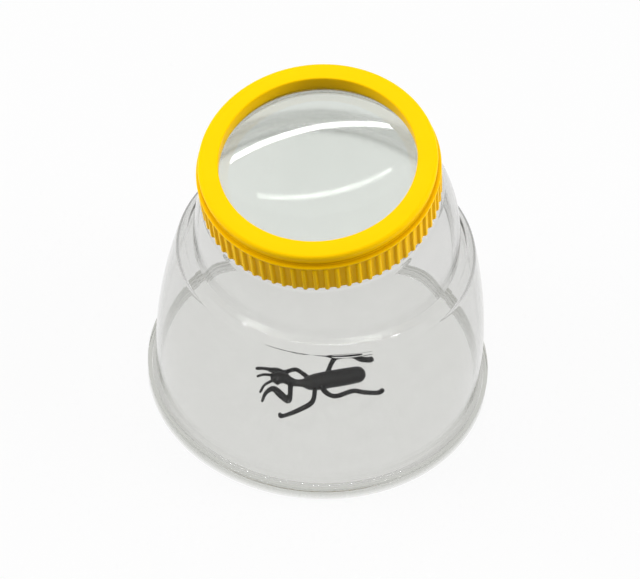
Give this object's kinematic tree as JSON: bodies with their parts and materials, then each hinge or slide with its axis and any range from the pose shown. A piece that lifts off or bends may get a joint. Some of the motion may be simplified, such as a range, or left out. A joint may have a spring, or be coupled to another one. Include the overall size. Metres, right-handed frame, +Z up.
{
  "type": "bug catcher jar",
  "caption": "Clear bell-shaped insect viewing jar on a shallow tray, with a leaning dome, a magnifier in a ribbed yellow screw ring and a loose toy mantis inside.",
  "frame": {"origin": "centre of the tray's flat underside", "axes": "+Z up; the dome, screw ring and magnifier lean towards -Y, which is the front; +X to the right seen from the front"},
  "size_m": [0.115, 0.115, 0.112],
  "materials": {
    "clear_plastic": "clear polished moulded plastic",
    "lens_plastic": "clear optical moulded plastic",
    "yellow_plastic": "glossy moulded plastic",
    "black_plastic": "satin moulded plastic"
  },
  "bodies": {
    "base": {"base_tray": "clear_plastic"},
    "jar": {"jar_body": "clear_plastic"},
    "lens": {"magnifier_lens": "lens_plastic"},
    "cap": {"cap_ring": "yellow_plastic", "lens_retainer": "yellow_plastic"},
    "toy": {"toy_mantis": "black_plastic"}
  },
  "joints": [
    {"name": "jar_lift", "type": "slide", "parent": "base", "child": "jar", "axis": [0, 0, 1], "range_m": [0, 0.06]},
    {"name": "lens_rise", "type": "slide", "parent": "jar", "child": "lens", "axis": [0, -0.2233, 0.9748], "range_m": [0, 0.0091]},
    {"name": "cap_turn", "type": "hinge", "parent": "lens", "child": "cap", "pos_m": [0, 0, 0.0606], "axis": [0, -0.2233, 0.9748], "range_deg": [0, 540]},
    {"name": "toy_lift", "type": "slide", "parent": "base", "child": "toy", "axis": [0, 0, 1], "range_m": [0, 0.04]}
  ],
  "couplings": [
    {"joint": "lens_rise", "follows": "cap_turn", "m_per_rad": 0.00095493}
  ]
}
